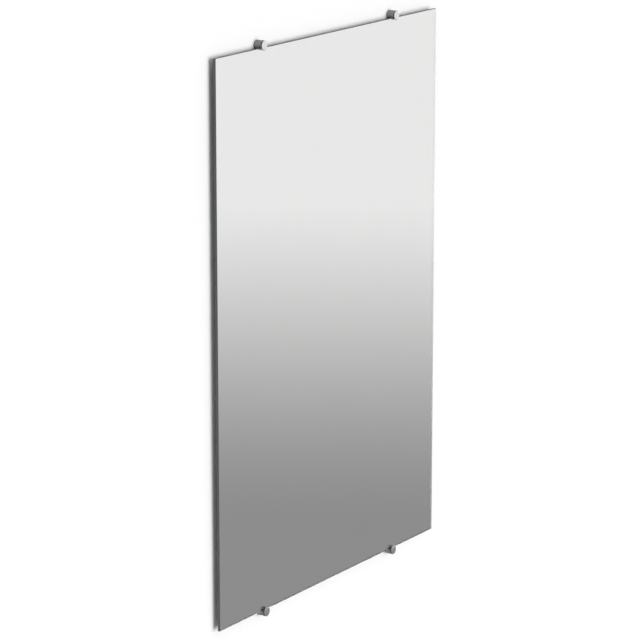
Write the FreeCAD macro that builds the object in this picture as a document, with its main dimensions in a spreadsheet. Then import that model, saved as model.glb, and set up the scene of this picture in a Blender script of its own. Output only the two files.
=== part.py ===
import FreeCAD, Part
import math
import os
import Sketcher
from FreeCAD import Placement, Rotation, Vector

# A frameless bathroom mirror, held on a wall by four round edge clips.
# The wall is the plane y = 0, the mirror faces -Y and +Z is up.
# The origin lies on the wall, in the middle of the four fixing points.

# Driving sizes in millimetres, each set once
SIZES = {
    # the silvered pane, seen from the front
    "pane_width": 700,
    "pane_height": 1000,
    "glass_thickness": 5,
    "glass_arris": 0.4,
    "silver_thickness": 0.1,
    "paint_thickness": 0.1,
    # places of the clips on the pane, and the room left over its top edge
    "clip_inset": 140,
    "top_clearance": 0.3,
    # the turned barrel on the wall, with a step in its front that takes the edge of the pane
    "clip_diameter": 17,
    "step_height": 9.2,
    "step_offset": 3.35,
    "barrel_end_gap": 0.2,
    "barrel_chamfer": 0.3,
    "barrel_relief_margin": 2,
    "barrel_relief_depth": 0.6,
    # the machine thread that bolt, barrel and cap share, drawn at its outer diameter
    "thread_diameter": 5,
    "running_clearance": 0.05,
    # the soft pad that lines the step, behind the pane and under its edge
    "pad_back": 0.6,
    "pad_foot": 0.5,
    "pad_inset": 0.4,
    "pad_end_gap": 0.2,
    # the soft ring between the pane and the cap
    "washer_thickness": 1,
    "washer_inset": 3,
    "washer_bore_clearance": 0.3,
    # the cap with its stud
    "cap_rim": 1.5,
    "cap_rise": 0.25,
    "cap_edge_radius": 0.4,
    "cap_back_chamfer": 0.2,
    "stud_engagement": 4.5,
    "stud_chamfer": 0.5,
    "stud_relief_width": 1,
    "stud_relief_depth": 0.5,
    # the headless bolt from the wall into the barrel
    "bolt_end_gap": 0.5,
    "bolt_chamfer": 0.5,
    "bolt_neck_diameter": 4.2,
    "bolt_neck_length": 5,
    "bolt_wood_diameter": 5,
    "bolt_tip_length": 6,
    "bolt_past_plug": 5,
    "socket_flats": 2.5,
    "socket_depth": 2.5,
    # the nylon plug in the wall
    "plug_diameter": 8,
    "plug_length": 40,
    "plug_collar": 9,
    "plug_tip_length": 3,
    "plug_tip_taper": 1,
    "plug_tooth_depth": 0.5,
    "plug_slit": 1.2,
}
PLUG_TEETH = 7

# Distances from the wall towards the room, where one piece ends and the next begins
PANE_BACK = "(sizes.step_height + sizes.pad_back)"
SILVER_BACK = f"({PANE_BACK} + sizes.paint_thickness)"
GLASS_BACK = f"({SILVER_BACK} + sizes.silver_thickness)"
GLASS_FRONT = f"({GLASS_BACK} + sizes.glass_thickness)"
BARREL_FRONT = f"({GLASS_FRONT} - sizes.barrel_end_gap)"
CAP_BACK = f"({GLASS_FRONT} + sizes.washer_thickness)"
STUD_TIP = "(sizes.step_height - sizes.stud_engagement)"
BOLT_END = f"({STUD_TIP} - sizes.bolt_end_gap)"

# Depths behind the face of the wall
PLUG_DEPTH = "sizes.plug_length"
BOLT_DEPTH = "(sizes.plug_length + sizes.bolt_past_plug)"

# The clips stand in a rectangle about the origin, and the pane hangs lower by half its clearance,
# so that its bottom edge rests on the lower pads
CLIP_ACROSS = "(sizes.pane_width / 2 - sizes.clip_inset)"
PANE_TO_AXIS = "(sizes.step_offset + sizes.pad_foot)"
CLIP_RISE = f"(sizes.pane_height / 2 + {PANE_TO_AXIS} + sizes.top_clearance / 2)"
PANE_DROP = "sizes.top_clearance / 2"
CLIPS = {
    "top_left": (-1, 1),
    "top_right": (1, 1),
    "bottom_left": (-1, -1),
    "bottom_right": (1, -1),
}

# Turns a piece's own axis, its local Z, from the wall towards the room
FACING_ROOM = Rotation(Vector(1, 0, 0), 90)

# Places on a sketch: the two axes, the ends and centre of an edge, and the origin
UP_AXIS, ACROSS_AXIS = range(-2, 0)
START, END, CENTRE = range(1, 4)
ORIGIN = (ACROSS_AXIS, START)

doc = FreeCAD.newDocument("bathroom_mirror")
sheet = doc.addObject("Spreadsheet::Sheet", "sizes")
for row, (alias, number) in enumerate(SIZES.items(), start=1):
    sheet.set(f"A{row}", alias)
    sheet.set(f"B{row}", str(number))
    sheet.setAlias(f"B{row}", alias)
doc.recompute()

pieces = []


def value_of(expression):
    """The number that an expression on the sheet gives now."""
    return float(sheet.evalExpression(expression))


def new_piece(label):
    """An empty body that becomes one piece of the mirror."""
    body = doc.addObject("PartDesign::Body", label)
    body.Label = label
    pieces.append(body)
    return body


def place(body, across, from_wall, rise):
    """Stands a piece on its own axis, at a distance from the wall towards the room."""
    body.Placement = Placement(Vector(), FACING_ROOM)
    body.setExpression("Placement.Base.x", across)
    body.setExpression("Placement.Base.y", f"-({from_wall})")
    body.setExpression("Placement.Base.z", rise)


def place_on_clip(body, clip, from_wall):
    """Stands a piece on the axis of one clip."""
    side, level = CLIPS[clip]
    place(body, f"{side} * {CLIP_ACROSS}", from_wall, f"{level} * {CLIP_RISE}")


def new_sketch(body, role, height=None, aside=None):
    """A sketch on one of the body's own planes, or at a height above it and shifted aside."""
    sketch = body.newObject("Sketcher::SketchObject", f"{body.Name}_sketch")
    plane = next(f for f in body.Origin.OriginFeatures if f.Role == role)
    sketch.AttachmentSupport = [(plane, "")]
    sketch.MapMode = "FlatFace"
    if height:
        sketch.setExpression("AttachmentOffset.Base.z", height)
    if aside:
        sketch.setExpression("AttachmentOffset.Base.y", aside)
    return sketch


def drive(sketch, kind, places, expression):
    """Adds a dimension whose value comes from the sheet."""
    number = sketch.addConstraint(Sketcher.Constraint(kind, *places, value_of(expression)))
    sketch.setExpression(f"Constraints[{number}]", expression)


def add_circle(sketch, diameter, helper=False):
    """A circle about the origin; a helper circle only guides other lines."""
    circle = Part.Circle(Vector(), Vector(0, 0, 1), value_of(diameter) / 2)
    edge = sketch.addGeometry(circle, helper)
    sketch.addConstraint(Sketcher.Constraint("Coincident", edge, CENTRE, *ORIGIN))
    drive(sketch, "Diameter", [edge], diameter)
    return edge


def join_ends(sketch, edges):
    """Closes a row of edges into a loop."""
    for edge, following in zip(edges, edges[1:] + edges[:1]):
        sketch.addConstraint(Sketcher.Constraint("Coincident", edge, END, following, START))


def add_loop(sketch, corners):
    """Straight edges round a row of corners."""
    ends = corners[1:] + corners[:1]
    edges = [sketch.addGeometry(Part.LineSegment(a, b)) for a, b in zip(corners, ends)]
    join_ends(sketch, edges)
    return edges


def add_rectangle(sketch, width, height):
    """A rectangle with the origin in its middle."""
    half_width = value_of(width) / 2
    half_height = value_of(height) / 2
    signs = [(-1, -1), (1, -1), (1, 1), (-1, 1)]
    bottom, right, top, left = add_loop(
        sketch, [Vector(x * half_width, y * half_height, 0) for x, y in signs]
    )
    for edge in (bottom, top):
        sketch.addConstraint(Sketcher.Constraint("Horizontal", edge))
    for edge in (right, left):
        sketch.addConstraint(Sketcher.Constraint("Vertical", edge))
    sketch.addConstraint(Sketcher.Constraint("Symmetric", bottom, START, top, START, *ORIGIN))
    drive(sketch, "DistanceX", [bottom, START, bottom, END], width)
    drive(sketch, "DistanceY", [right, START, right, END], height)


def add_hexagon(sketch, across_flats):
    """A regular hexagon about the origin with one corner on the first axis."""
    corner_circle = f"(2 * {across_flats} / sqrt(3))"
    radius = value_of(corner_circle) / 2
    turns = [i * math.pi / 3 for i in range(6)]
    edges = add_loop(sketch, [Vector(radius * math.cos(t), radius * math.sin(t), 0) for t in turns])
    circle = add_circle(sketch, corner_circle, helper=True)
    for edge in edges:
        sketch.addConstraint(Sketcher.Constraint("PointOnObject", edge, START, circle))
    for edge in edges[1:]:
        sketch.addConstraint(Sketcher.Constraint("Equal", edges[0], edge))
    sketch.addConstraint(Sketcher.Constraint("PointOnObject", edges[0], START, ACROSS_AXIS))


def crown_arc(rim, top):
    """The arc from a rim point up to a point on the turning axis, with its centre on that axis."""
    rise = top.y - rim.y
    radius = (rim.x**2 + rise**2) / (2 * rise)
    centre = Vector(0, top.y - radius, 0)
    start = math.atan2(rim.y - centre.y, rim.x)
    return Part.ArcOfCircle(Part.Circle(centre, Vector(0, 0, 1), radius), start, math.pi / 2)


def add_half_section(sketch, points, crown=None):
    """A closed outline through (radius, height) points, with an arc from the point crown to the next."""
    places = [Vector(value_of(radius), value_of(height), 0) for radius, height in points]
    edges = []
    for point, start, end in zip(points, places, places[1:] + places[:1]):
        shape = crown_arc(start, end) if point == crown else Part.LineSegment(start, end)
        edges.append(sketch.addGeometry(shape))
    join_ends(sketch, edges)
    for edge, (radius, height) in zip(edges, points):
        for kind, axis, expression in (("DistanceX", UP_AXIS, radius), ("DistanceY", ACROSS_AXIS, height)):
            if expression == "0":
                sketch.addConstraint(Sketcher.Constraint("PointOnObject", edge, START, axis))
            else:
                drive(sketch, kind, [*ORIGIN, edge, START], expression)
        if (radius, height) == crown:
            sketch.addConstraint(Sketcher.Constraint("PointOnObject", edge, CENTRE, UP_AXIS))


def turn(body, points, crown=None):
    """Turns a half section about the body's own axis."""
    sketch = new_sketch(body, "XZ_Plane")
    add_half_section(sketch, points, crown)
    turned = body.newObject("PartDesign::Revolution", f"{body.Name}_turned")
    turned.Profile = sketch
    turned.ReferenceAxis = (sketch, ["V_Axis"])
    turned.Angle = 360
    doc.recompute()
    return turned


def pad(body, sketch, length):
    """Raises a sketch by a length."""
    raised = body.newObject("PartDesign::Pad", f"{body.Name}_pad")
    raised.Profile = sketch
    raised.setExpression("Length", length)
    doc.recompute()
    return raised


def pocket(body, sketch, depth, side="One side"):
    """Cuts a sketch into the body and makes sure that the cut took something away."""
    before = body.Shape.Volume
    cut = body.newObject("PartDesign::Pocket", f"{body.Name}_pocket")
    cut.Profile = sketch
    cut.SideType = side
    cut.setExpression("Length", depth)
    doc.recompute()
    if body.Shape.Volume >= before:
        raise RuntimeError(f"{cut.Label} cuts nothing")


def circle_edges(shape, radius, height):
    """Names of the full circles of a radius at a height on the body's own axis."""
    found = []
    for i, edge in enumerate(shape.Edges, start=1):
        if edge.Degenerated or not isinstance(edge.Curve, Part.Circle):
            continue
        same_radius = math.isclose(edge.Curve.Radius, radius, rel_tol=1e-6)
        if same_radius and math.isclose(edge.Curve.Center.z, height, rel_tol=1e-6):
            found.append(f"Edge{i}")
    return found


def ease_edges(body, base, kind, size_property, edges, size):
    """Rounds or bevels the named edges of a feature."""
    eased = body.newObject(f"PartDesign::{kind}", f"{body.Name}_{kind.lower()}")
    eased.Base = (base, edges)
    eased.setExpression(size_property, size)
    doc.recompute()
    return eased


# The pane: glass with ground edges, the silver behind it and the paint that keeps the silver dry


def pane_layer(label, width, height, back, thickness):
    """A sheet of the pane's stack, with its back face at a distance from the wall."""
    body = new_piece(label)
    sketch = new_sketch(body, "XY_Plane")
    add_rectangle(sketch, width, height)
    sheet_pad = pad(body, sketch, thickness)
    place(body, "0", back, f"-{PANE_DROP}")
    return body, sheet_pad


def make_pane():
    glass, block = pane_layer(
        "mirror_glass", "sizes.pane_width", "sizes.pane_height", GLASS_BACK, "sizes.glass_thickness"
    )
    every_edge = [f"Edge{i}" for i in range(1, len(block.Shape.Edges) + 1)]
    ease_edges(glass, block, "Chamfer", "Size", every_edge, "sizes.glass_arris")
    # silver and paint end where the arris on the back of the glass begins
    coat_width = "(sizes.pane_width - 2 * sizes.glass_arris)"
    coat_height = "(sizes.pane_height - 2 * sizes.glass_arris)"
    pane_layer("silver_film", coat_width, coat_height, SILVER_BACK, "sizes.silver_thickness")
    pane_layer("backing_paint", coat_width, coat_height, PANE_BACK, "sizes.paint_thickness")


# The pieces of one clip, from the wall towards the room


def make_wall_plug(clip):
    """A split nylon plug with a plain collar at its mouth and rings of teeth behind it."""
    body = new_piece(f"wall_plug_{clip}")
    bore = "(sizes.bolt_wood_diameter / 2 + sizes.running_clearance)"
    outer = "(sizes.plug_diameter / 2)"
    split_length = "(sizes.plug_length - sizes.plug_collar)"
    pitch = f"(({split_length} - sizes.plug_tip_length) / {PLUG_TEETH})"
    points = [
        (bore, "0"),
        (f"({outer} - sizes.plug_tip_taper)", "0"),
        (outer, "sizes.plug_tip_length"),
    ]
    for i in range(PLUG_TEETH):
        foot = f"(sizes.plug_tip_length + {i} * {pitch})"
        step = f"({foot} + {pitch} / 2)"
        if i:
            points.append((outer, foot))
        points.append((outer, step))
        points.append((f"({outer} - sizes.plug_tooth_depth)", step))
    points += [
        (outer, split_length),
        (outer, "sizes.plug_length"),
        (bore, "sizes.plug_length"),
    ]
    turn(body, points)
    slit = new_sketch(body, "XZ_Plane")
    add_rectangle(slit, "sizes.plug_slit", f"(2 * {split_length})")
    pocket(body, slit, "sizes.plug_diameter", "Symmetric")
    place_on_clip(body, clip, f"-{PLUG_DEPTH}")


def make_hanger_bolt(clip):
    """A headless bolt: wood thread in the plug, machine thread in the barrel, hexagon socket in its end."""
    body = new_piece(f"hanger_bolt_{clip}")
    length = f"({BOLT_DEPTH} + {BOLT_END})"
    neck_foot = f"({BOLT_DEPTH} - sizes.bolt_neck_length)"
    wood = "(sizes.bolt_wood_diameter / 2)"
    neck = "(sizes.bolt_neck_diameter / 2)"
    machine = "(sizes.thread_diameter / 2)"
    turn(
        body,
        [
            ("0", "0"),
            (wood, "sizes.bolt_tip_length"),
            (wood, neck_foot),
            (neck, neck_foot),
            (neck, BOLT_DEPTH),
            (machine, BOLT_DEPTH),
            (machine, f"({length} - sizes.bolt_chamfer)"),
            (f"({machine} - sizes.bolt_chamfer)", length),
            ("0", length),
        ],
    )
    socket = new_sketch(body, "XY_Plane", length)
    add_hexagon(socket, "sizes.socket_flats")
    pocket(body, socket, "sizes.socket_depth")
    place_on_clip(body, clip, f"-{BOLT_DEPTH}")


def cut_block(body, clip, top, middle, depth):
    """Cuts a wide block out of a clip's piece, its middle at a distance from the axis towards the pane."""
    level = CLIPS[clip][1]
    sketch = new_sketch(body, "XY_Plane", top, f"{-level} * {middle}")
    add_rectangle(sketch, "(2 * sizes.clip_diameter)", "sizes.clip_diameter")
    pocket(body, sketch, depth)


def make_barrel(clip):
    """A turned tube with a tapped bore, relieved at its back so that only the rim bears on the wall.

    A step milled into its front takes the edge of the pane.
    """
    body = new_piece(f"barrel_{clip}")
    bore = "(sizes.thread_diameter / 2 + sizes.running_clearance)"
    outer = "(sizes.clip_diameter / 2)"
    relief = f"({outer} - sizes.barrel_relief_margin)"
    edge = f"({outer} - sizes.barrel_chamfer)"
    turn(
        body,
        [
            (bore, "sizes.barrel_relief_depth"),
            (relief, "sizes.barrel_relief_depth"),
            (relief, "0"),
            (edge, "0"),
            (outer, "sizes.barrel_chamfer"),
            (outer, f"({BARREL_FRONT} - sizes.barrel_chamfer)"),
            (edge, BARREL_FRONT),
            (bore, BARREL_FRONT),
        ],
    )
    step_middle = "(sizes.step_offset + sizes.clip_diameter / 2)"
    cut_block(body, clip, BARREL_FRONT, step_middle, f"({BARREL_FRONT} - sizes.step_height)")
    place_on_clip(body, clip, "0")


def make_seat_pad(clip):
    """The soft lining of the step: a back that the pane leans on and a foot that its edge rests on."""
    body = new_piece(f"seat_pad_{clip}")
    length = f"({BARREL_FRONT} - sizes.step_height - sizes.pad_end_gap)"
    disc = new_sketch(body, "XY_Plane")
    add_circle(disc, "(sizes.clip_diameter - 2 * sizes.pad_inset)")
    pad(body, disc, length)
    cut_block(body, clip, length, "(sizes.step_offset - sizes.clip_diameter / 2)", length)
    pane_middle = f"({PANE_TO_AXIS} + sizes.clip_diameter / 2)"
    cut_block(body, clip, length, pane_middle, f"({length} - sizes.pad_back)")
    place_on_clip(body, clip, "sizes.step_height")


def make_front_washer(clip):
    """The soft ring that the cap presses on the pane."""
    body = new_piece(f"front_washer_{clip}")
    ring = new_sketch(body, "XY_Plane")
    add_circle(ring, "(sizes.clip_diameter - 2 * sizes.washer_inset)")
    add_circle(ring, "(sizes.thread_diameter + 2 * sizes.washer_bore_clearance)")
    pad(body, ring, "sizes.washer_thickness")
    place_on_clip(body, clip, GLASS_FRONT)


def make_cap(clip):
    """A turned disc with a gently crowned face and, in one piece with it, the stud that draws it in."""
    body = new_piece(f"cap_{clip}")
    stud = "(sizes.thread_diameter / 2)"
    relief = f"({stud} - sizes.stud_relief_depth)"
    outer = "(sizes.clip_diameter / 2)"
    seat = f"({CAP_BACK} - {STUD_TIP})"
    relief_foot = f"({seat} - sizes.stud_relief_width)"
    rim_top = f"({seat} + sizes.cap_rim)"
    rim = (outer, rim_top)
    points = [
        ("0", "0"),
        (f"({stud} - sizes.stud_chamfer)", "0"),
        (stud, "sizes.stud_chamfer"),
        (stud, relief_foot),
        (relief, relief_foot),
        (relief, seat),
        (f"({outer} - sizes.cap_back_chamfer)", seat),
        (outer, f"({seat} + sizes.cap_back_chamfer)"),
        rim,
        ("0", f"({rim_top} + sizes.cap_rise)"),
    ]
    turned = turn(body, points, crown=rim)
    front_edge = circle_edges(turned.Shape, value_of(outer), value_of(rim_top))
    ease_edges(body, turned, "Fillet", "Radius", front_edge, "sizes.cap_edge_radius")
    place_on_clip(body, clip, STUD_TIP)


make_pane()
for clip in CLIPS:
    make_wall_plug(clip)
    make_hanger_bolt(clip)
    make_barrel(clip)
    make_seat_pad(clip)
    make_front_washer(clip)
    make_cap(clip)
doc.recompute()

# Nothing is written unless every feature and every solid is sound
failed = [o.Label for o in doc.Objects if {"Invalid", "Error"} & set(o.State)]
failed += [p.Label for p in pieces if p.Shape.isNull() or not p.Shape.isValid()]
if failed:
    raise RuntimeError(f"these failed: {failed}")

os.makedirs("parts", exist_ok=True)
for piece in pieces:
    piece.Shape.exportStep(f"parts/{piece.Label}.step")
    box = piece.Shape.optimalBoundingBox()
    print(
        f"{piece.Label}: {len(piece.Shape.Solids)} solid, {piece.Shape.Volume:.1f} mm3, "
        f"{box.XLength:.2f} x {box.YLength:.2f} x {box.ZLength:.2f} mm"
    )
print(f"{len(pieces)} pieces")
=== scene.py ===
# %% [markdown]
# # A bathroom mirror on four round clips
#
# The mirror is one silvered pane without a frame. Four turned metal clips hold it 10 mm off the
# wall. Its pieces could be modelled again here by eye, but then they would drift from the CAD
# model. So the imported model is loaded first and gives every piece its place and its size. It stays
# as it is: this script only gives its pieces their finishes, and builds the few that need finer
# forms.

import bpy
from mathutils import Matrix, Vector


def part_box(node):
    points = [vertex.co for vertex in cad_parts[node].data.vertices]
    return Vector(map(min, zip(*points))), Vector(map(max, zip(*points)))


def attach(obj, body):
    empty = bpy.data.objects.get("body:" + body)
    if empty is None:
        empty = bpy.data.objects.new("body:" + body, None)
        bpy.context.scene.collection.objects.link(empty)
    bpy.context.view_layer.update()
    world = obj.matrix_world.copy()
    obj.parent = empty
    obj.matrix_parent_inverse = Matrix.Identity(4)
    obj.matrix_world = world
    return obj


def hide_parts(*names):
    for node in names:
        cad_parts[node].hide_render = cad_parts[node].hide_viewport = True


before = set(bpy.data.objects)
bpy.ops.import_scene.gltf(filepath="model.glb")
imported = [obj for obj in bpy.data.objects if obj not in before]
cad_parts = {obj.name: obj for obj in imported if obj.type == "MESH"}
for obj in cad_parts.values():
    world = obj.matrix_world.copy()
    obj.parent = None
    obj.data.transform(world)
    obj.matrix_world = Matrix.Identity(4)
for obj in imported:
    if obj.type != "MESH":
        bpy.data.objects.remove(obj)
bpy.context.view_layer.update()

import math
import random

import bmesh
import bpy

MM = 0.001
CLIPS = ["top_left", "top_right", "bottom_left", "bottom_right"]

# %% [markdown]
# ## Small helpers for nodes
#
# A finish is a tree of nodes. Such a tree could be drawn by hand in the node editor, but a script
# can be read and run again. Adding a node, setting its values and wiring its inputs one by one
# takes many lines, so one helper does all three. An input may be given as a number, a colour or
# another node's output.


# %% Helpers that add nodes
def add_node(tree, kind, inputs=None, **settings):
    """A new node with its settings made and its inputs filled or wired."""
    made = tree.nodes.new(kind)
    for setting, choice in settings.items():
        setattr(made, setting, choice)
    for socket, value in (inputs or {}).items():
        if isinstance(value, bpy.types.NodeSocket):
            tree.links.new(value, made.inputs[socket])
        else:
            made.inputs[socket].default_value = value
    return made


def add_math(tree, operation, first, second=0.0):
    """The output of a Math node."""
    return add_node(tree, "ShaderNodeMath", {0: first, 1: second}, operation=operation).outputs[0]


def add_mix(tree, share, first, second):
    """A colour between two others."""
    inputs = {"Factor": share, "A": first, "B": second}
    return add_node(tree, "ShaderNodeMix", inputs, data_type="RGBA").outputs["Result"]


def add_range(tree, value, low, high):
    """A value from 0 to 1 spread over another range."""
    inputs = {"Value": value, "To Min": low, "To Max": high}
    return add_node(tree, "ShaderNodeMapRange", inputs).outputs[0]


def add_span(tree, value, start, end):
    """0 at the start of a span and 1 at its end, held beyond both."""
    inputs = {"Value": value, "From Min": start, "From Max": end}
    return add_node(tree, "ShaderNodeMapRange", inputs).outputs[0]


def grey(level):
    return (level, level, level, 1.0)


print("helpers are ready")

# %% [markdown]
# ## The wall and the floor
#
# The mirror hangs on a white wall, and the thin shadow round it shows how far it stands off. A
# thick slab could stand for the wall, but it would hide the back of the mirror. So the wall is a
# single sheet at y = 0 that is clear when seen from behind: Geometry's Backfacing says which side a
# ray comes from. The floor is a second sheet, lifted to white for the camera. Reflections don't see
# it and lamps shine past it, so it draws no edge in the mirror or on the wall.


# %% Build the wall and the floor
def pale_sheet(name, level, lift, corners):
    """A flat pale sheet, clear from behind; lift is what the camera sees added to its light."""
    mesh = bpy.data.meshes.new(name)
    mesh.from_pydata(corners, [], [range(len(corners))])
    sheet = bpy.data.objects.new(name, mesh)
    bpy.context.scene.collection.objects.link(sheet)
    paint = bpy.data.materials.new(name + "_paint")
    paint.use_nodes = True
    tree = paint.node_tree
    tree.nodes.clear()
    white = add_node(tree, "ShaderNodeBsdfDiffuse", {"Color": grey(level)})
    direct = add_node(tree, "ShaderNodeLightPath").outputs["Is Camera Ray"]
    added = add_math(tree, "MULTIPLY", direct, lift)
    glow = add_node(tree, "ShaderNodeEmission", {"Strength": added})
    lifted = add_node(tree, "ShaderNodeAddShader", {0: white.outputs[0], 1: glow.outputs[0]})
    clear = add_node(tree, "ShaderNodeBsdfTransparent")
    side = add_node(tree, "ShaderNodeNewGeometry").outputs["Backfacing"]
    either = add_node(
        tree, "ShaderNodeMixShader", {0: side, 1: lifted.outputs[0], 2: clear.outputs[0]})
    add_node(tree, "ShaderNodeOutputMaterial", {"Surface": either.outputs[0]})
    mesh.materials.append(paint)
    return sheet


WALL_TONE, WALL_SIDE, WALL_TOP = 0.805, 4, 2.5
FLOOR_TONE, FLOOR_LIFT = 0.7, 0.7
FLOOR_SIDE, FLOOR_DEPTH, FLOOR_LEVEL = 1.2, 1, -1.5
wall = pale_sheet("wall", WALL_TONE, 0.0, [
    (-WALL_SIDE, 0, FLOOR_LEVEL), (WALL_SIDE, 0, FLOOR_LEVEL),
    (WALL_SIDE, 0, WALL_TOP), (-WALL_SIDE, 0, WALL_TOP)])
floor = pale_sheet("floor", FLOOR_TONE, FLOOR_LIFT, [
    (-FLOOR_SIDE, -FLOOR_DEPTH, FLOOR_LEVEL), (FLOOR_SIDE, -FLOOR_DEPTH, FLOOR_LEVEL),
    (FLOOR_SIDE, FLOOR_DEPTH, FLOOR_LEVEL), (-FLOOR_SIDE, FLOOR_DEPTH, FLOOR_LEVEL)])
floor.visible_glossy = floor.visible_transmission = floor.visible_shadow = False
for sheet in (wall, floor):
    print("the", sheet.name, "faces", tuple(sheet.data.polygons[0].normal))

# %% [markdown]
# ## The camera
#
# The picture is taken from the left and from a little above, from a good five metres away with a
# long lens. Both could be turned by eye until they look right. Here place and lens were worked out
# from the four corners of the pane in the photograph, with the focal length counted in its pixels.
# The lens isn't shifted, so that the mirror stays in the frame from every other side.

# %% Place the camera
PHOTO_SIDE, FOCAL_LENGTH, SENSOR_WIDTH = 640, 3113.1, 36
CAMERA_PLACE = (-4.5082, -2.9687, 1.3170)
LOOK_DOWN, LOOK_RIGHT = 13.903, 56.553
lens = bpy.data.cameras.new("camera")
lens.sensor_width = SENSOR_WIDTH
lens.lens = SENSOR_WIDTH * FOCAL_LENGTH / PHOTO_SIDE
camera = bpy.data.objects.new("camera", lens)
camera.location = CAMERA_PLACE
camera.rotation_euler = (math.radians(90 - LOOK_DOWN), 0, math.radians(-LOOK_RIGHT))
bpy.context.scene.collection.objects.link(camera)
bpy.context.scene.camera = camera
bpy.context.scene.view_settings.view_transform = "Standard"
print(f"the lens is {lens.lens:.1f} mm long")

# %% [markdown]
# ## What the mirror looks at
#
# A mirror shows nothing of its own: its tone is the tone of the room in front of it. A photographer
# hangs a graded card there, pale above and darker below. A real card could be modelled, but it
# would have an edge. Here the world is the card. It is pale down to a height just under the
# horizon, then fades to a mid grey, to the dark of a far studio floor, and last to the pale floor
# near by. Only reflected and refracted rays see it. The camera sees plain white, and all other rays
# get the soft light of a room, which is stronger from above than from below.

# %% Make the world
CARD_TOP, CARD_FOOT, CARD_BEND = -0.2043, -0.3020, 0.8
CARD_PALE, CARD_GREY = 0.88, 0.29
FAR_TOP, FAR_FOOT, FAR_GREY = -0.345, -0.48, 0.12
NEAR_TOP, NEAR_FOOT, NEAR_GREY = -0.62, -0.84, 0.55
SOFT_ABOVE, SOFT_BELOW = 0.70, 0.22
world = bpy.data.worlds.new("studio")
bpy.context.scene.world = world
world.use_nodes = True
tree = world.node_tree
tree.nodes.clear()
aim = add_node(tree, "ShaderNodeTexCoord").outputs["Generated"]
height = add_node(tree, "ShaderNodeSeparateXYZ", {0: aim}).outputs["Z"]
drop = add_span(tree, height, CARD_TOP, CARD_FOOT)
left = add_math(tree, "SUBTRACT", 1.0, drop)
bend = add_math(tree, "MULTIPLY", add_math(tree, "POWER", drop, 2.0), CARD_BEND)
fade = add_math(tree, "MULTIPLY", left, add_math(tree, "SUBTRACT", 1.0, bend))
far_share = add_span(tree, height, FAR_TOP, FAR_FOOT)
far_floor = add_mix(tree, far_share, grey(CARD_GREY), grey(FAR_GREY))
near_share = add_span(tree, height, NEAR_TOP, NEAR_FOOT)
near_floor = add_mix(tree, near_share, far_floor, grey(NEAR_GREY))
card = add_mix(tree, fade, near_floor, grey(CARD_PALE))
soft = add_range(tree, add_span(tree, height, -1.0, 1.0), SOFT_BELOW, SOFT_ABOVE)
ray = add_node(tree, "ShaderNodeLightPath").outputs
shiny = add_math(tree, "MAXIMUM", ray["Is Glossy Ray"], ray["Is Transmission Ray"])
seen = add_mix(tree, ray["Is Camera Ray"], add_mix(tree, shiny, soft, card), grey(1.0))
sky = add_node(tree, "ShaderNodeBackground", {"Color": seen})
add_node(tree, "ShaderNodeOutputWorld", {"Surface": sky.outputs[0]})
print("the card fades from", CARD_PALE, "to", CARD_GREY)

# %% [markdown]
# ## The lamps
#
# The shadow round the pane is even on all sides, so the main light comes straight from the front.
# It could be a large softbox, but a sun lamp with a wide disc is as soft and equally strong all
# over the wall. A second lamp behind the wall only shows the back of the mirror. Light linking lets
# it pass the wall, and without bounces it leaves the gap between wall and pane dark.


# %% Hang the lamps
def hang_lamp(name, kind, strength, turn):
    """A lamp that lights matt surfaces but is not seen in the mirror or the metal."""
    light = bpy.data.lights.new(name, kind)
    light.energy = strength
    lamp = bpy.data.objects.new(name, light)
    lamp.rotation_euler = [math.radians(angle) for angle in turn]
    lamp.visible_camera = lamp.visible_glossy = lamp.visible_transmission = False
    bpy.context.scene.collection.objects.link(lamp)
    return lamp


TO_THE_WALL, TO_THE_ROOM = (90, 0, 0), (-90, 0, 0)
FRONT_STRENGTH, FRONT_DISC = 0.78 * math.pi, 50
BACK_POWER, BACK_SIZE, BACK_PLACE = 90, 3, (0, 3, 0.3)
front_lamp = hang_lamp("front_lamp", "SUN", FRONT_STRENGTH, TO_THE_WALL)
front_lamp.data.angle = math.radians(FRONT_DISC)
back_lamp = hang_lamp("back_lamp", "AREA", BACK_POWER, TO_THE_ROOM)
back_lamp.data.size = BACK_SIZE
back_lamp.location = BACK_PLACE
back_lamp.data.cycles.max_bounces = 0
passed_through = bpy.data.collections.new("passed_through")
passed_through.objects.link(wall)
passed_through.collection_objects[0].light_linking.link_state = "EXCLUDE"
back_lamp.light_linking.blocker_collection = passed_through
print("front lamp", round(front_lamp.data.energy, 3), "and back lamp", back_lamp.data.energy)

# %% [markdown]
# ## Effects that several finishes share
#
# Turned metal carries fine rings from the tool: circles on a face, and circles round a side. They
# could be cut into the mesh, but they are far finer than its faces, so a noise draws them. One
# measure runs along face and side, the distance from the clip's axis plus the distance from the
# wall, so one group serves both. The four clips mirror each other, so the signs of x and z are
# dropped first.


# %% Make the group for turning marks
def new_group(name, inputs, outputs):
    """An empty shader node group with named sockets."""
    group = bpy.data.node_groups.new(name, "ShaderNodeTree")
    for label, start in inputs.items():
        socket = group.interface.new_socket(label, in_out="INPUT", socket_type="NodeSocketFloat")
        socket.default_value = start
    for label in outputs:
        group.interface.new_socket(label, in_out="OUTPUT", socket_type="NodeSocketFloat")
    return group, group.nodes.new("NodeGroupInput"), group.nodes.new("NodeGroupOutput")


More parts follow.
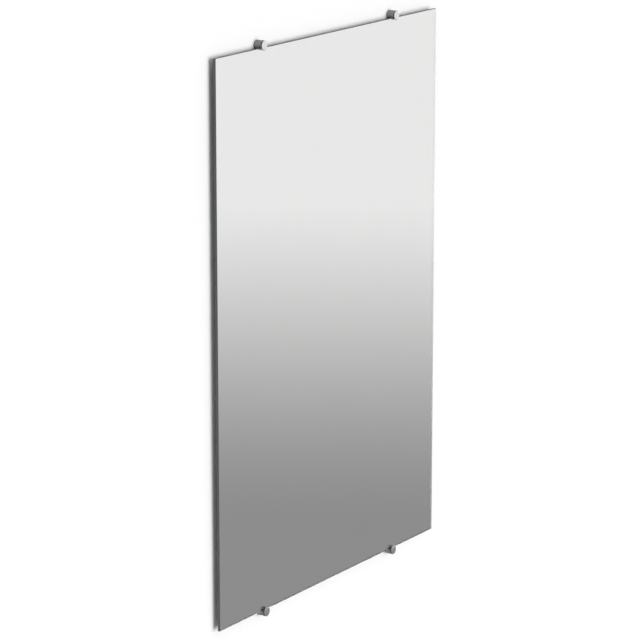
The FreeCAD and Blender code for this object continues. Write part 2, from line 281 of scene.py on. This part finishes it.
CLIP_ACROSS, CLIP_RISE = 210 * MM, 504 * MM
WIDE_SHARE = 0.12
turning_marks, given, put_out = new_group(
    "turning_marks", {"Rings per metre": 6000.0}, ["Height", "Tone"])
spot = add_node(turning_marks, "ShaderNodeTexCoord").outputs["Object"]
place = add_node(turning_marks, "ShaderNodeSeparateXYZ", {0: spot}).outputs
side = add_math(turning_marks, "ABSOLUTE", place["X"])
level = add_math(turning_marks, "ABSOLUTE", place["Z"])
off_axis = add_node(turning_marks, "ShaderNodeCombineXYZ", {
    "X": add_math(turning_marks, "SUBTRACT", side, CLIP_ACROSS),
    "Y": add_math(turning_marks, "SUBTRACT", level, CLIP_RISE)})
radius = add_node(
    turning_marks, "ShaderNodeVectorMath", {0: off_axis.outputs[0]}, operation="LENGTH")
along = add_math(turning_marks, "SUBTRACT", radius.outputs["Value"], place["Y"])
rings = add_math(turning_marks, "MULTIPLY", along, given.outputs["Rings per metre"])
wide_rings = add_math(turning_marks, "MULTIPLY", rings, WIDE_SHARE)
fine = add_node(
    turning_marks, "ShaderNodeTexNoise", {"W": rings, "Scale": 1.0, "Detail": 2.0},
    noise_dimensions="1D")
wide = add_node(
    turning_marks, "ShaderNodeTexNoise", {"W": wide_rings, "Scale": 1.0}, noise_dimensions="1D")
turning_marks.links.new(fine.outputs[0], put_out.inputs["Height"])
turning_marks.links.new(wide.outputs[0], put_out.inputs["Tone"])
print("group", turning_marks.name, "has", len(turning_marks.nodes), "nodes")

# %% [markdown]
# Bevelled edges are touched and rubbed most, so they are a little brighter than the rest. A mask
# could be painted by hand, but the normal already knows where they are. On everything turned about
# an axis along y, the y part of the normal is 1 on faces, 0 on sides and between them on a bevel.
# The product n2 * (1 - n2) with n2 as its square is largest exactly on a bevel of 45 degrees. It is
# a quarter there, so four times the product is a full mask.

# %% Make the group for rubbed edges
FULL_MASK = 4.0
rubbed_edges, _, put_out = new_group("rubbed_edges", {}, ["Mask"])
facing = add_node(rubbed_edges, "ShaderNodeNewGeometry").outputs["Normal"]
part_y = add_node(rubbed_edges, "ShaderNodeSeparateXYZ", {0: facing}).outputs["Y"]
square = add_math(rubbed_edges, "POWER", add_math(rubbed_edges, "ABSOLUTE", part_y), 2.0)
rest = add_math(rubbed_edges, "SUBTRACT", 1.0, square)
bevel = add_math(rubbed_edges, "MULTIPLY", square, rest)
mask = add_math(rubbed_edges, "MULTIPLY", bevel, FULL_MASK)
rubbed_edges.links.new(mask, put_out.inputs["Mask"])
print("group", rubbed_edges.name, "has", len(rubbed_edges.nodes), "nodes")

# %% [markdown]
# Paint, rubber and moulded plastic have a grain and slow changes of tone. A picture could give
# both, but it would repeat and need unwrapping. Two noises, one fine and one wide, need neither.
# The number of grains in a metre is an input, so that each finish can have its own.

# %% Make the group for grain
SLOW_SHARE = 0.05
grain, given, put_out = new_group("grain", {"Grains per metre": 3000.0}, ["Height", "Tone"])
where = add_node(grain, "ShaderNodeTexCoord").outputs["Object"]
count = given.outputs["Grains per metre"]
slow = add_math(grain, "MULTIPLY", count, SLOW_SHARE)
close = add_node(grain, "ShaderNodeTexNoise", {"Vector": where, "Scale": count, "Detail": 3.0})
far = add_node(grain, "ShaderNodeTexNoise", {"Vector": where, "Scale": slow, "Detail": 2.0})
grain.links.new(close.outputs[0], put_out.inputs["Height"])
grain.links.new(far.outputs[0], put_out.inputs["Tone"])
print("group", grain.name, "has", len(grain.nodes), "nodes")

# %% [markdown]
# ## A finish from a few values
#
# All finishes but clear glass and silver share one plan: a colour that drifts between two shades, a
# roughness that drifts with it, and fine relief as a bump. Each could be wired by itself, but only
# the group that drives them and a few values differ, so one function builds the plan.


# %% Make finishes
def new_finish(name, **values):
    """A material with one Principled shader, with values set on its own sockets."""
    made = bpy.data.materials.new(name)
    made.use_nodes = True
    tree = made.node_tree
    shader = tree.nodes["Principled BSDF"]
    for socket, value in values.items():
        shader.inputs[socket.replace("_", " ")].default_value = value
    return made, tree, shader


def drifting_finish(name, group, count, shades, roughness, depth, edge=None, **values):
    """Colour, roughness and relief that follow a group; edge is the shade of rubbed edges."""
    made, tree, shader = new_finish(name, **values)
    effect = add_node(tree, "ShaderNodeGroup", node_tree=group)
    effect.inputs[0].default_value = count
    tone = effect.outputs["Tone"]
    colour = add_mix(tree, tone, (*shades[0], 1), (*shades[1], 1))
    if edge:
        worn = add_node(tree, "ShaderNodeGroup", node_tree=rubbed_edges)
        colour = add_mix(tree, worn.outputs["Mask"], colour, (*edge, 1))
    relief = add_node(tree, "ShaderNodeBump", {
        "Height": effect.outputs["Height"], "Distance": depth, "Strength": 1.0})
    tree.links.new(colour, shader.inputs["Base Color"])
    tree.links.new(add_range(tree, tone, *roughness), shader.inputs["Roughness"])
    tree.links.new(relief.outputs[0], shader.inputs["Normal"])
    return made


def neutral(level):
    return (level, level, level)


def dress(material, *names):
    """Gives a finish to CAD pieces."""
    for name in names:
        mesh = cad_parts[name].data
        mesh.materials.clear()
        mesh.materials.append(material)


print("groups to draw on:", [group.name for group in bpy.data.node_groups])

# %% [markdown]
# ## The metal of the clips
#
# The clips are turned steel. The face of a cap is satin and pale, and its back is blasted to a pale
# matt. Its rim is painted dark: painted shade that draws the dark line of shadow between cap and
# barrel. The barrels are duller than the face of a cap and are painted darker too, as painted shade
# for the dark surroundings they reflect, with brighter edges. One finish for all of it would be
# simpler, but then the dark line between cap and barrel would be lost, so there are four.

# %% Finish the clips
cap_steel = drifting_finish(
    "cap_steel", turning_marks, count=7000, shades=[neutral(0.80), neutral(0.86)],
    roughness=(0.09, 0.13), depth=0.002 * MM, Metallic=1.0)
# Painted shade: the barrels' dark grey stands in for the shade and dark surroundings they reflect.
barrel_steel = drifting_finish(
    "barrel_steel", turning_marks, count=5000, shades=[neutral(0.24), neutral(0.30)],
    roughness=(0.58, 0.70), depth=0.004 * MM, edge=neutral(0.34), Metallic=1.0)
# Painted shade: the rim's near black draws the line of shadow between cap and barrel.
rim_steel_painted_shade = drifting_finish(
    "rim_steel_painted_shade", turning_marks, count=5000, shades=[neutral(0.09), neutral(0.13)],
    roughness=(0.42, 0.54), depth=0.004 * MM, Metallic=1.0)
blasted_steel = drifting_finish(
    "blasted_steel", grain, count=6000, shades=[neutral(0.88), neutral(0.94)],
    roughness=(0.75, 0.90), depth=0.006 * MM, Metallic=1.0)
dress(barrel_steel, *[f"barrel_{clip}" for clip in CLIPS])
print("barrels dressed in", barrel_steel.name)

# %% [markdown]
# ## The washers, pads and plugs
#
# The washers are white rubber, which is matt and has a fine grain. The pads that the glass rests on
# are pale soft plastic, and the plugs in the wall are pale nylon, a little shiny and with slow
# changes of tone. A flat colour would do at a distance, but close up it looks like paper, so all
# three drift.

# %% Finish the rubber and the plastics
washer_rubber = drifting_finish(
    "washer_rubber", grain, count=9000, shades=[(0.80, 0.80, 0.79), (0.86, 0.86, 0.85)],
    roughness=(0.70, 0.90), depth=0.010 * MM)
pad_plastic = drifting_finish(
    "pad_plastic", grain, count=5000, shades=[(0.50, 0.50, 0.49), (0.58, 0.58, 0.57)],
    roughness=(0.38, 0.52), depth=0.006 * MM)
plug_nylon = drifting_finish(
    "plug_nylon", grain, count=3000, shades=[(0.42, 0.43, 0.44), (0.50, 0.51, 0.52)],
    roughness=(0.36, 0.50), depth=0.008 * MM)
for clip in CLIPS:
    dress(pad_plastic, f"seat_pad_{clip}")
    dress(plug_nylon, f"wall_plug_{clip}")
print("dressed the soft pieces of", len(CLIPS), "clips")

# %% [markdown]
# ## The back of the pane
#
# Dark grey paint keeps the silver dry. It is poured on as a curtain and baked, which leaves a
# slight orange peel. The peel could be sculpted, but it is far too shallow for that, so a coarse
# grain in the bump shows it.

# %% Finish the paint
PAINT_GRAINS = 700
paint = drifting_finish(
    "backing_paint", grain, count=PAINT_GRAINS,
    shades=[(0.105, 0.112, 0.115), (0.128, 0.135, 0.138)], roughness=(0.38, 0.50),
    depth=0.020 * MM)
dress(paint, "backing_paint")
print("paint shades drift over", round(1 / (PAINT_GRAINS * SLOW_SHARE), 3), "m")

# %% [markdown]
# ## The glass
#
# The two large faces of the pane are clear. The edges and their bevels were ground with a wheel, so
# they are matt. Their dark grey is partly painted shade, for the shadow along the pane's edges.
# The pane could be split into two pieces, but the CAD piece keeps its shape: each of its faces
# only takes one of two materials, picked by where it faces. From inside the glass a ground edge
# acts as plain glass, so that the mirror stays clean up to its border.

# %% Finish the glass
GLASS_IOR, FLAT_FACE, TINT_GRAINS = 1.52, 0.99, 60
clear_glass, tree, shader = new_finish(
    "clear_glass", Roughness=0.0, IOR=GLASS_IOR, Transmission_Weight=1.0)
tint = add_node(tree, "ShaderNodeGroup", node_tree=grain)
tint.inputs[0].default_value = TINT_GRAINS
drift = add_mix(tree, tint.outputs["Tone"], (0.970, 0.972, 0.971, 1), (0.976, 0.978, 0.977, 1))
tree.links.new(drift, shader.inputs["Base Color"])
# Painted shade: the dark grey of the ground edges partly stands in for the shadow along them.
ground_glass_painted_shade = drifting_finish(
    "ground_glass_painted_shade", grain, count=4000, shades=[(0.095, 0.100, 0.098), (0.120, 0.125, 0.123)],
    roughness=(0.55, 0.75), depth=0.010 * MM, Specular_IOR_Level=0.1)
tree = ground_glass_painted_shade.node_tree
outside = tree.nodes["Principled BSDF"].outputs[0]
inside = add_node(tree, "ShaderNodeBsdfGlass", {"IOR": GLASS_IOR, "Roughness": 0.0}).outputs[0]
side = add_node(tree, "ShaderNodeNewGeometry").outputs["Backfacing"]
either = add_node(tree, "ShaderNodeMixShader", {0: side, 1: outside, 2: inside})
tree.links.new(either.outputs[0], tree.nodes["Material Output"].inputs["Surface"])
dress(clear_glass, "mirror_glass")
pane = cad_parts["mirror_glass"].data
pane.materials.append(ground_glass_painted_shade)
for face in pane.polygons:
    face.material_index = 0 if abs(face.normal.y) > FLAT_FACE else 1
ground = sum(face.material_index for face in pane.polygons)
print("ground faces:", ground, "of", len(pane.polygons))

# %% [markdown]
# ## The silver
#
# The reflecting layer lies on the back of the glass, and its border is slightly uneven, as grinding
# leaves it. A plain box would do, but its border is too straight. So the outline is a row of
# points, each drawn in by a little. The draws are seeded, so that every run gives the same border.

# %% Draw the border of the silver
BORDER_SEED, STEP, NIBBLE = 7, 10 * MM, 0.25 * MM
random.seed(BORDER_SEED)


def uneven_border(low, high):
    """Points round a rectangle, each drawn in by a little."""
    corners = [(low.x, low.z), (high.x, low.z), (high.x, high.z), (low.x, high.z)]
    inward = [(0, 1), (-1, 0), (0, -1), (1, 0)]
    points = []
    for i, (start, push) in enumerate(zip(corners, inward)):
        end = corners[(i + 1) % len(corners)]
        count = round((abs(end[0] - start[0]) + abs(end[1] - start[1])) / STEP)
        for j in range(count):
            bite = NIBBLE * random.random() if j else 0.0
            share = j / count
            points.append((
                start[0] + share * (end[0] - start[0]) + push[0] * bite,
                start[1] + share * (end[1] - start[1]) + push[1] * bite,
            ))
    return points


silver_low, silver_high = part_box("silver_film")
border = uneven_border(silver_low, silver_high)
print("the border has", len(border), "points")

# %% [markdown]
# Two surfaces in exactly the same place would quarrel in a render. The glass could be cut back, but
# it is a CAD piece and stays. So the sheet that stands for the silver has its front a few
# hundredths of a millimetre inside the glass.


# %% Lay the silver
def new_piece(name, bm, material, body):
    """Turns a bmesh into a piece that rides on a body."""
    mesh = bpy.data.meshes.new(name)
    bmesh.ops.recalc_face_normals(bm, faces=bm.faces)
    bm.to_mesh(mesh)
    bm.free()
    mesh.materials.append(material)
    piece = bpy.data.objects.new(name, mesh)
    bpy.context.scene.collection.objects.link(piece)
    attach(piece, body)
    return piece


SINK, CLOUD_GRAINS = 0.03 * MM, 100
silver, tree, shader = new_finish("silver", Metallic=1.0, Roughness=0.0)
cloud = add_node(tree, "ShaderNodeGroup", node_tree=grain)
cloud.inputs[0].default_value = CLOUD_GRAINS
sheen = add_mix(tree, cloud.outputs["Tone"], (0.935, 0.935, 0.930, 1), (0.950, 0.950, 0.945, 1))
tree.links.new(sheen, shader.inputs["Base Color"])
bm = bmesh.new()
front = [bm.verts.new((x, silver_low.y - SINK, z)) for x, z in border]
back = [bm.verts.new((x, silver_high.y, z)) for x, z in border]
bm.faces.new(front)
bm.faces.new(back)
for i in range(len(border)):
    bm.faces.new((front[i - 1], front[i], back[i], back[i - 1]))
silver_sheet = new_piece("silver_sheet", bm, silver, "wall_set")
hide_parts("silver_film")
print("the silver sheet has", len(silver_sheet.data.polygons), "faces")

# %% [markdown]
# ## Turned pieces with real threads
#
# The stud of each cap and both ends of each bolt carry threads. A screw modifier could wind a
# profile, but it leaves open ends. Here a thread is a turned blank whose radius also goes down and
# up once for each pitch along a helix, so the mesh is a stack of rows round the axis. A plain row
# is a circle. A thread's row climbs by one pitch in a turn, and it is held at the ends of the
# thread, where rows fall together and are merged. Each row then runs along a crest, a flank or a
# root, and crests stay crisp.

# %% Helpers for threads
COLUMNS = 72
NUDGE = 1e-9  # keeps a share that lies on a point of the profile from falling just short of it


def plain_row(distance, radius):
    """A circle at a distance from the wall, in millimetres."""
    return [(distance, radius)] * (COLUMNS + 1)


def thread_rows(start, end, pitch, profile, blank):
    """Rows along a helix: profile has (share of pitch, radius), blank the radius before cutting."""
    shares, radii = zip(*profile)

    def cut(share):
        share %= 1.0
        i = max(k for k, s in enumerate(shares) if s <= share)
        last = i + 1 == len(shares)
        to_share, to_radius = (1.0, radii[0]) if last else (shares[i + 1], radii[i + 1])
        part = (share - shares[i]) / (to_share - shares[i])
        return radii[i] + part * (to_radius - radii[i])

    rows = []
    for turn in range(-1, math.ceil((end - start) / pitch) + 1):
        for share in shares:
            row = []
            for column in range(COLUMNS + 1):
                wound = column / COLUMNS
                distance = min(max(start + (turn + share + wound) * pitch, start), end)
                radius = cut((distance - start) / pitch - wound + NUDGE)
                row.append((distance, min(radius, blank(distance))))
            rows.append(row)
    return rows


print("a row has", COLUMNS, "points")

# %% [markdown]
# A lathe turns its work about one axis, and here too the rows become a mesh about the axis of a
# clip: columns run round it, and distances run out from the wall. Blender's spin tool could turn a
# profile in the same way, but the rows of a thread aren't all alike, so the mesh is laid through
# them point by point.

# %% Helpers for turned pieces
MERGE = 0.002 * MM


def turned_mesh(rows, centre):
    """A closed surface through rows about an axis across the wall."""
    bm = bmesh.new()
    grid = []
    for row in rows:
        ring = []
        for column, (distance, radius) in enumerate(row):
            angle = 2 * math.pi * column / COLUMNS
            ring.append(bm.verts.new((
                centre[0] + radius * math.cos(angle) * MM,
                -distance * MM,
                centre[1] + radius * math.sin(angle) * MM)))
        grid.append(ring)
    for low, high in zip(grid, grid[1:]):
        for column in range(COLUMNS):
            bm.faces.new((low[column], low[column + 1], high[column + 1], high[column]))
    bmesh.ops.remove_doubles(bm, verts=bm.verts, dist=MERGE)
    return bm


def smooth(piece, angle):
    """Smooth shading, with edges sharper than the angle kept crisp."""
    mesh = piece.data
    mesh.polygons.foreach_set("use_smooth", [True] * len(mesh.polygons))
    mesh.set_sharp_from_angle(angle=math.radians(angle))


def clip_centre(clip):
    """Where the axis of a clip meets the wall."""
    level, side = clip.split("_")
    across = CLIP_ACROSS if side == "right" else -CLIP_ACROSS
    return across, CLIP_RISE if level == "top" else -CLIP_RISE


print("clip centres", [clip_centre(clip) for clip in CLIPS])

# %% [markdown]
# ## The caps
#
# A cap is a disc with a gently crowned face and a rounded rim, turned in one piece with its stud.
# The stud's machine thread has a pitch of 0.8 mm. A narrow groove under the disc lets the thread
# run out. A flat disc would be simpler, but only a crowned face changes its tone slowly from side
# to side, as turned metal does.

# %% Draw the caps
MACHINE_RADIUS, MACHINE_FLANK, MACHINE_CORE, MACHINE_ROOT = 2.5, 2.26, 2.01, 1.99
MACHINE_PITCH = 0.8
MACHINE_THREAD = [
    (0.0, MACHINE_RADIUS), (0.125, MACHINE_RADIUS), (0.28, MACHINE_FLANK), (0.44, MACHINE_CORE),
    (0.56, MACHINE_ROOT), (0.69, MACHINE_CORE), (0.845, MACHINE_FLANK)]
STUD_TIP, STUD_END, STUD_RELIEF = 4.7, 15.0, 2.0
SEAT, APEX = 16.0, 17.75
CAP_RADIUS, CAP_CHAMFER, EDGE_ROUND, CROWN_RISE = 8.5, 0.2, 0.4, 0.25
ROUND_STEPS, CROWN_STEPS = 6, 12


def stud_blank(distance):
    return min(MACHINE_RADIUS, STUD_RELIEF + distance - STUD_TIP)


def cap_rows():
    """Rows from the tip of the stud to the middle of the face."""
    crown = (CAP_RADIUS**2 + CROWN_RISE**2) / (2 * CROWN_RISE)
    foot = APEX - crown
    round_centre = CAP_RADIUS - EDGE_ROUND
    round_height = foot + math.sqrt((crown - EDGE_ROUND) ** 2 - round_centre**2)
    lean = math.atan2(round_height - foot, round_centre)
    rows = [plain_row(STUD_TIP, 0)]
    rows += thread_rows(STUD_TIP, STUD_END, MACHINE_PITCH, MACHINE_THREAD, stud_blank)
    rows += [plain_row(STUD_END, STUD_RELIEF), plain_row(SEAT, STUD_RELIEF)]
    rows += [plain_row(SEAT, CAP_RADIUS - CAP_CHAMFER), plain_row(SEAT + CAP_CHAMFER, CAP_RADIUS)]
    for i in range(ROUND_STEPS + 1):
        angle = lean * i / ROUND_STEPS
        out, up = EDGE_ROUND * math.cos(angle), EDGE_ROUND * math.sin(angle)
        rows.append(plain_row(round_height + up, round_centre + out))
    for i in range(1, CROWN_STEPS + 1):
        angle = lean + (math.pi / 2 - lean) * i / CROWN_STEPS
        out = crown * math.cos(angle) if i < CROWN_STEPS else 0
        rows.append(plain_row(foot + crown * math.sin(angle), out))
    return rows


print("a cap has", len(cap_rows()), "rows")

# %% [markdown]
# The face, the rim with the stud, and the back of a cap have their own finishes. They could be
# three pieces, but the real cap is one. So each of its faces takes one of three materials, picked
# by where it points and lies.

# %% Turn the caps
CAP_FACE, CAP_RIM, CAP_BACK = range(3)
FACES_ROOM, FACES_WALL, SEAT_MARGIN = -0.9, 0.5, 0.1
METAL_CREASE = 25
for clip in CLIPS:
    turned = turned_mesh(cap_rows(), clip_centre(clip))
    cap = new_piece(f"cap_{clip}_turned", turned, cap_steel, f"cap_{clip}")
    cap.data.materials.append(rim_steel_painted_shade)
    cap.data.materials.append(blasted_steel)
    for face in cap.data.polygons:
        under_disc = face.center.y < -(SEAT - SEAT_MARGIN) * MM
        face.material_index = CAP_RIM
        if face.normal.y < FACES_ROOM:
            face.material_index = CAP_FACE
        elif face.normal.y > FACES_WALL and under_disc:
            face.material_index = CAP_BACK
    smooth(cap, METAL_CREASE)
    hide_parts(f"cap_{clip}")
print("a cap has", len(cap.data.polygons), "faces")

# %% [markdown]
# ## The front washers
#
# A soft washer lies between each cap and the glass. It is pressed a little flatter than it was
# made, so its rims are round. A bevel modifier could round them, but here the rows already draw the
# round. The two faces of the washer stay a hair away from metal and glass, because surfaces in one
# place would quarrel here too.

# %% Turn the washers
WASHER_BORE, WASHER_RADIUS, RIM_ROUND, HAIR = 2.8, 5.5, 0.3, 0.03
PANE_FRONT = 15.0
RIM_STEPS, RUBBER_CREASE = 4, 40


def washer_rows():
    """Rows once round the section of a washer, ending where they start."""
    low, high = PANE_FRONT + HAIR + RIM_ROUND, SEAT - HAIR - RIM_ROUND
    outer, inner = WASHER_RADIUS - RIM_ROUND, WASHER_BORE + RIM_ROUND
    rows = []
    for height, radius, start in [
            (low, outer, -90), (high, outer, 0), (high, inner, 90), (low, inner, 180)]:
        for i in range(RIM_STEPS + 1):
            angle = math.radians(start + 90 * i / RIM_STEPS)
            out, up = RIM_ROUND * math.cos(angle), RIM_ROUND * math.sin(angle)
            rows.append(plain_row(height + up, radius + out))
    return rows + rows[:1]


for clip in CLIPS:
    pressed = turned_mesh(washer_rows(), clip_centre(clip))
    washer = new_piece(
        f"front_washer_{clip}_pressed", pressed, washer_rubber, f"front_washer_{clip}")
    smooth(washer, RUBBER_CREASE)
    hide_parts(f"front_washer_{clip}")
print("a washer has", len(washer.data.polygons), "faces")

# %% [markdown]
# ## The hanger bolts
#
# A hanger bolt has a wood thread for the plug, a thin neck, and a machine thread for the barrel. It
# has no head: a hexagon socket in its end takes the key. The socket could be cut out with a
# boolean, but a row can be a hexagon as well as a circle, so it is drawn with the rest.

# %% Draw the bolts
WOOD_RADIUS, WOOD_CORE, WOOD_ROOT, WOOD_PITCH = 2.5, 1.8, 1.75, 2.2
WOOD_THREAD = [
    (0.0, WOOD_RADIUS), (0.06, WOOD_RADIUS), (0.24, WOOD_CORE), (0.50, WOOD_ROOT),
    (0.82, WOOD_CORE)]
TIP, POINT_LENGTH, TAPER_END, NECK, BOLT_END = -45.0, 0.6, -39.0, -5.0, 4.2
NECK_RADIUS, SOCKET_FLATS, SOCKET_FLOOR = 2.1, 2.5, 1.7


def wood_blank(distance):
    return min(WOOD_RADIUS, WOOD_RADIUS * (distance - TIP) / (TAPER_END - TIP))


def machine_blank(distance):
    return min(MACHINE_RADIUS, STUD_RELIEF + BOLT_END - distance)


def hexagon_row(distance):
    """A hexagon with its corners on whole columns."""
    row = []
    for column in range(COLUMNS + 1):
        off_flat = (2 * math.pi * column / COLUMNS) % (math.pi / 3) - math.pi / 6
        row.append((distance, SOCKET_FLATS / 2 / math.cos(off_flat)))
    return row


def bolt_rows():
    """Rows from the tip in the wall to the floor of the socket."""
    rows = [plain_row(TIP, 0)]
    rows += thread_rows(TIP + POINT_LENGTH, NECK, WOOD_PITCH, WOOD_THREAD, wood_blank)
    rows += [plain_row(NECK, NECK_RADIUS), plain_row(0, NECK_RADIUS)]
    rows += thread_rows(0, BOLT_END, MACHINE_PITCH, MACHINE_THREAD, machine_blank)
    rows += [hexagon_row(BOLT_END), hexagon_row(SOCKET_FLOOR), plain_row(SOCKET_FLOOR, 0)]
    return rows


print("a bolt has", len(bolt_rows()), "rows")

# %% [markdown]
# The bolts are zinc plated against rust, which looks cool and slightly blotchy. One plain metal
# colour would do from afar, but plating is never that even, so a coarse grain drifts between two
# shades of zinc.

# %% Turn the bolts
zinc = drifting_finish(
    "zinc", grain, count=2500, shades=[(0.56, 0.58, 0.60), (0.68, 0.69, 0.69)],
    roughness=(0.24, 0.38), depth=0.004 * MM, Metallic=1.0)
for clip in CLIPS:
    threaded = turned_mesh(bolt_rows(), clip_centre(clip))
    bolt = new_piece(f"hanger_bolt_{clip}_threaded", threaded, zinc, "wall_set")
    smooth(bolt, METAL_CREASE)
    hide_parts(f"hanger_bolt_{clip}")
print("a bolt has", len(bolt.data.polygons), "faces")
